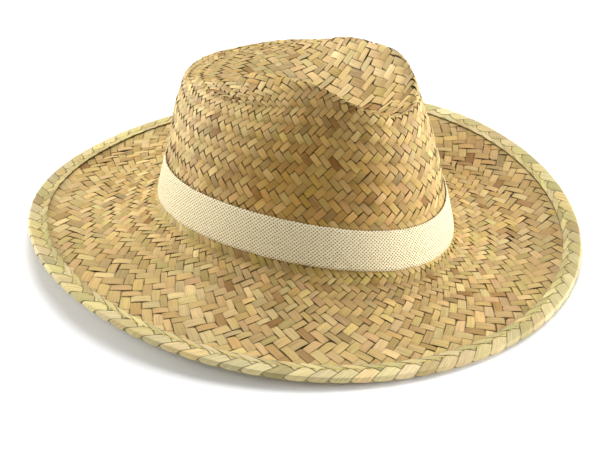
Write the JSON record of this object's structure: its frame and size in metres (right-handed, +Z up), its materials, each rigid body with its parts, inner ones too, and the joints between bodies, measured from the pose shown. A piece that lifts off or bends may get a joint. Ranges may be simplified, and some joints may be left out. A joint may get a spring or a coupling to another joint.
{
  "type": "straw cowboy hat",
  "caption": "Wide-brimmed hat of plaited straw with a creased, pinched crown, a cream ribbon band and a braided brim edge, standing on its brim.",
  "frame": {"origin": "on the surface that the brim stands on, under the middle of the hat", "axes": "+Z up, -Y to the front of the hat, +X to the wearer's left"},
  "size_m": [0.3456, 0.3596, 0.1274],
  "materials": {
    "straw_weave": "twill of flat straw strips, satin, golden with olive and tan strips",
    "cream_ribbon": "matt cream ribbon with a fine even weave",
    "straw_braid": "pale green-gold straw braid, sewn"
  },
  "bodies": {
    "root": {"woven_body": "straw_weave", "hat_band": "cream_ribbon", "edge_binding": "straw_braid"}
  },
  "joints": []
}
